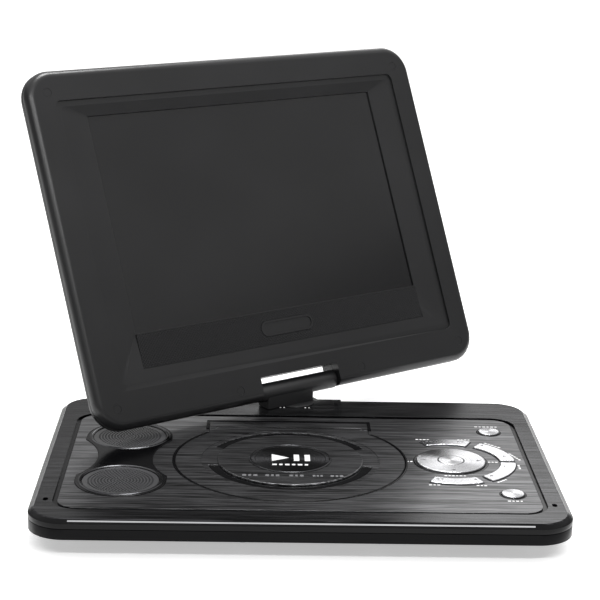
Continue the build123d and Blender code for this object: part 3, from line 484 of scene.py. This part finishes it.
def makeDoorGapShade(c):
    low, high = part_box("disc_door")
    radius = (high.x - low.x) / 2 + (c["gap"] + c["thick"]) * mm
    top = topOf("deck_panel") - 0.05 * mm
    line = torus((doorCentre.x, doorCentre.y, top), radius, c["thick"] * mm, c["squash"])
    only(line)
    bpy.ops.object.transform_apply(location=True, rotation=True, scale=True)
    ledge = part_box("door_hinge_cover")
    edit((bpy.ops.mesh.bisect, {"plane_co": (0, high.y - c["shortOf"] * mm, 0), "plane_no": (0, 1, 0),
                                "clear_outer": True, "use_fill": True}))
    away, wide = (c["gap"] + c["thick"]) * mm, 2 * c["thick"] * mm
    sides = [box((x + side * away, ledge[1].y - c["sideBack"] * mm, top), (wide, c["sideLong"] * mm, wide * c["squash"]))
             for side, x in ((-1, ledge[0].x), (1, ledge[1].x))]
    rear = box((doorCentre.x, ledge[1].y + away, top),
               (ledge[1].x - ledge[0].x + 2 * wide, wide, wide * c["squash"]))
    # painted shade: black strips on the deck round the door stand in for the shadow of its gap
    seal(joined([line, rear] + sides), "door_gap_shade", "base", bellyAbs)


makeDoorGapShade(outline)
print("door outline made")


def arcStrip(centre, inner, outer, low, high, start, end):      # a bent bar about a centre, in metres and degrees
    middle = Vector(((inner + outer) / 2, 0, (low + high) / 2))
    bpy.ops.mesh.primitive_plane_add(size=1, location=(0, 0, 0), rotation=(pi / 2, 0, 0))
    piece = bpy.context.object
    piece.scale = (outer - inner, high - low, 1)
    piece.location = middle
    only(piece)
    bpy.ops.object.transform_apply(location=True, rotation=True, scale=True)
    edit((bpy.ops.mesh.spin, {"steps": 64, "angle": radians(end - start), "center": (0, 0, 0), "axis": (0, 0, 1)}))
    leftward = max(vertex.co.y for vertex in piece.data.vertices) > 1e-6
    turned = start if leftward else end      # the spin may run either way round
    piece.rotation_euler.z = radians(turned)
    piece.location = (centre.x, centre.y, 0)
    only(piece)
    bpy.ops.object.transform_apply(location=True, rotation=True, scale=True)
    return piece


grooves = {"rear": (26, 154), "front": (193, 347)}       # degrees from the right, in the ring round the door's plate
grooveSize = {"inner": 40.3, "outer": 46.0, "floor": 0.42, "thick": 0.1}       # mm; the floor is below the ring's top


def makeGrooves(table, c):
    top = topOf("door_ring") - c["floor"] * mm
    for side, (start, end) in table.items():
        strip = arcStrip(doorCentre, c["inner"] * mm, c["outer"] * mm, top, top + c["thick"] * mm, start, end)
        seal(strip, f"groove_{side}", "door", glossAbs)


makeGrooves(grooves, grooveSize)
keyGapShade = {"dial_ring": 0.55, "round_key_rear": 0.45, "round_key_front": 0.45}      # mm: black line round each key, painted shade in the gap round it


def makeKeyGapShade(table):
    top = topOf("deck_panel") - 0.05 * mm
    gapShades = []
    for node, thick in table.items():
        low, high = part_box(node)
        middle = middleOf(node)
        gapShades.append(torus((middle.x, middle.y, top), (high.x - low.x) / 2 + (thick - 0.6) * mm, thick * mm, 0.35))
    seal(joined(gapShades), "key_gap_shade", "base", glossAbs)


makeKeyGapShade(keyGapShade)
print("grooves and key rims made")

ink = 0.08 * mm      # how far the printing stands up


def bars(x, y, wide, tall, z, count, turn=0.0):      # a row of short bars in place of a word
    step = wide / count
    along = Vector((cos(radians(turn)), sin(radians(turn)), 0))
    spots = [Vector((x, y, 0)) + along * step * (n - (count - 1) / 2) for n in range(count)]
    return [box((p.x * mm, p.y * mm, z), (step * (0.72 - 0.2 * (n % 2)) * mm, tall * mm, 2 * ink), radians(turn))
            for n, p in enumerate(spots)]


def arrow(x, y, size, z, turn):
    return [prism((x * mm, y * mm, z), size * mm, 2 * ink, 3, radians(turn - 90))]


# deck labels: x, y, width, height of the bars, how many, turn in degrees
deckLabels = [
    (71.9, 29.8, 8.4, 1.2, 4, 0), (95.6, 30.1, 7.9, 1.2, 4, 0),
    (61.4, -7.3, 4.9, 1.3, 2, 0), (107.8, -6.9, 6.1, 1.3, 3, 0), (84.7, -29.1, 12.3, 1.2, 6, 0),
    (111.0, 21.2, 12.0, 1.2, 5, -45), (121.3, 2.3, 12.5, 1.2, 5, -66), (121.6, -14.0, 7.0, 1.2, 3, 90),
    (109.3, -36.2, 8.0, 1.2, 4, 42), (72.1, -43.6, 6.6, 1.2, 3, 0), (97.4, -43.7, 6.2, 1.2, 3, 0),
]
coverLabels = [(111.3, 53.7, 14.0, 1.2, 6, 0), (112.4, -66.1, 8.6, 1.2, 4, 0)]
plateMarks = [(-26.8, 9.0), (-14.6, 8.4), (-1.6, 8.6), (9.9, 6.0), (20.2, 7.6)]      # x and width, in one row
plateMarkY = -33.4
hingeDots = [(-9.0, 84.0), (-6.8, 84.0), (6.0, 84.0), (8.2, 84.0)]


def makePrinting():
    deck = topOf("deck_panel")
    for name, table in (("deck_labels", deckLabels), ("cover_labels", coverLabels)):
        pieces = [bar for x, y, wide, tall, count, turn in table for bar in bars(x, y, wide, tall, deck, count, turn)]
        seal(joined(pieces), name, "base", whitePrint)
    plate = topOf("door_centre")
    x0, y0 = doorCentre.x / mm, doorCentre.y / mm
    pieces = [bar for x, wide in plateMarks for bar in bars(x, plateMarkY, wide, 2.6, plate, 3)]
    seal(joined(pieces), "door_marks", "door", greyPrint)
    pieces = arrow(x0 - 7.0, y0 + 1.5, 6.4, plate, 0)
    pieces += [box(((x0 + dx) * mm, (y0 + 1.5) * mm, plate), (3.0 * mm, 10.0 * mm, 2 * ink)) for dx in (3.5, 9.5)]
    pieces += bars(x0, y0 - 9.5, 21.0, 2.2, plate, 6)
    seal(joined(pieces), "badge_mark", "door", whitePrint)


makePrinting()

# marks on the keys: x, y, arrow size, turn; each rides on its own key
keyMarks = {
    "arc_key_rear": [(74.0, 24.4, 1.0, 180), (76.2, 24.4, 1.0, 180), (94.1, 24.5, 1.0, 0), (91.9, 24.5, 1.0, 0)],
    "arc_key_right_rear": [(104.9, 19.0, 1.1, 45), (115.2, 1.2, 1.1, 0)],
    "arc_key_right_front": [(104.1, -30.3, 1.1, 0), (113.4, -15.0, 1.1, 0)],
    "arc_key_front": [(74.7, -36.2, 1.0, 180), (76.9, -36.2, 1.0, 180), (94.8, -36.2, 1.0, 0)],
}


def makeKeyMarks(table):
    for node, marks in table.items():
        pieces = [mark for x, y, size, turn in marks for mark in arrow(x, y, size, topOf(node), turn)]
        seal(joined(pieces), f"{node}_marks", f"{node}_body", greyPrint)
    reach = (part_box("dial_ring")[1].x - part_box("dial_ring")[0].x) / 2 / mm * 0.74
    x0, y0 = dialCentre.x / mm, dialCentre.y / mm
    pieces = []
    for turn in (0, 90, 180, 270):
        way = radians(turn)
        pieces += arrow(x0 + reach * cos(way), y0 + reach * sin(way), 1.5, topOf("dial_ring") - 0.05 * mm, turn)
    seal(joined(pieces), "dial_marks", "dial_ring_body", greyPrint)


makeKeyMarks(keyMarks)
print("printing made")

hingePlate = {"half": 28.0, "front": 88.0, "rear": 101.0, "corner": 3.0, "thick": 0.05}       # mm


def rounded(piece, corner, upright=True):      # bevels the upright edges of a box, or all of them
    only(piece)
    bpy.ops.object.transform_apply(location=False, rotation=False, scale=True)
    bpy.ops.object.mode_set(mode="EDIT")
    bpy.ops.mesh.select_mode(type="EDGE")
    bpy.ops.mesh.select_all(action="DESELECT")
    bpy.ops.object.mode_set(mode="OBJECT")
    for edge in piece.data.edges:
        ends = [piece.data.vertices[n].co for n in edge.vertices]
        edge.select = not upright or abs(ends[0].z - ends[1].z) > 0.1 * mm
    bpy.ops.object.mode_set(mode="EDIT")
    bpy.ops.mesh.bevel(offset=corner * mm, segments=6)
    bpy.ops.mesh.select_mode(type="VERT")
    bpy.ops.object.mode_set(mode="OBJECT")
    return piece


def makeHingePlate(c):
    deck = topOf("top_cover")
    middle = (0, (c["front"] + c["rear"]) / 2 * mm, deck)
    plate = box(middle, (2 * c["half"] * mm, (c["rear"] - c["front"]) * mm, 2 * c["thick"] * mm))
    seal(rounded(plate, c["corner"]), "hinge_plate", "base", glossAbs)
    dots = [prism((x * mm, y * mm, deck + ink / 2), 0.5 * mm, 2 * ink, 16) for x, y in hingeDots]
    seal(joined(dots), "hinge_dots", "base", whitePrint)


hingeHousing = {"left": -24.0, "right": 9.0, "slack": 0.25, "low": 0.5, "round": 1.2}     # mm: block under the barrel


def makeHousing(c):
    low = topOf("top_cover") + c["low"] * mm
    deep = topOf("hinge_barrel") - lidPivot.z - c["slack"] * mm
    middle = lidPivot + lidAcross * (c["left"] + c["right"]) / 2 * mm
    block = box((middle.x, middle.y, (low + lidPivot.z) / 2),
                ((c["right"] - c["left"]) * mm, 2 * deep, lidPivot.z - low))
    rounded(block, c["round"])
    block.rotation_euler.z = lidAcross.xy.angle_signed(Vector((1, 0)))
    seal(block, "hinge_housing", "swivel", satinAbs)


frontHighlight = {"half": 118.0, "wide": 0.9, "proud": 0.15, "run": 3.0, "drop": 2.2}     # mm: bright strip on the bevel, a painted highlight in place of the light caught along its edge


def makeFrontHighlight(c):
    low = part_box("top_cover")[0]
    line = box((0, 0, 0), (2 * c["half"] * mm, c["wide"] * mm, 2 * c["proud"] * mm))
    rounded(line, 0.3 * c["wide"])
    line.rotation_euler.x = atan2(c["drop"], c["run"])
    line.location = (0, low.y + c["run"] / 2 * mm, topOf("top_cover") - c["drop"] / 2 * mm)
    seal(line, "front_highlight", "base", polishedLineAndPaintedHighlight)


makeFrontHighlight(frontHighlight)
makeHingePlate(hingePlate)
makeHousing(hingeHousing)
print("hinge plate and housing made")

bpy.ops.mesh.primitive_plane_add(size=12, location=(0, 0, cadLow.z))
floor = bpy.context.object
floor.name = "floor"
glow = {"Emission Color": shade("#ffffff"), "Emission Strength": 0.45}      # keeps the shadow on it faint
dress(floor, grainy("paleFloor", "#f4f4f4", "#f8f8f8", (0.6, 0.7), 2.0, 0.0, glow))
